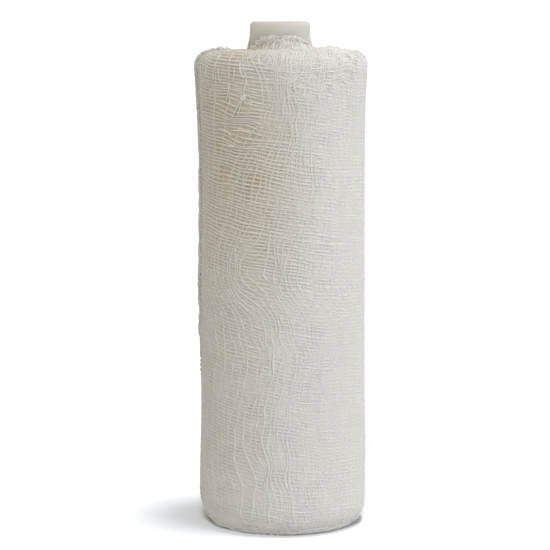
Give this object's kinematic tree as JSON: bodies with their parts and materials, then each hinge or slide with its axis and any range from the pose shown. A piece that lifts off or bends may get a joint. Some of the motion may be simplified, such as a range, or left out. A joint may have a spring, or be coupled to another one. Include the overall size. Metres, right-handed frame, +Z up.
{
  "type": "zinc paste bandage roll",
  "caption": "Upright roll of paste-coated open gauze wound on a plastic tube core that stands proud at the top.",
  "frame": {"origin": "middle of the roll's bottom end, on the surface that it stands on", "axes": "+Z up along the winding axis, -Y towards the camera of the picture, +X to the picture's right"},
  "size_m": [0.0362, 0.0361, 0.106],
  "materials": {
    "gauze": "open cotton gauze soaked with white zinc paste, dull with a faint moist sheen",
    "plastic": "moulded, off-white, frosted"
  },
  "bodies": {
    "root": {"bandage_roll": "gauze", "core": "plastic"}
  },
  "joints": []
}
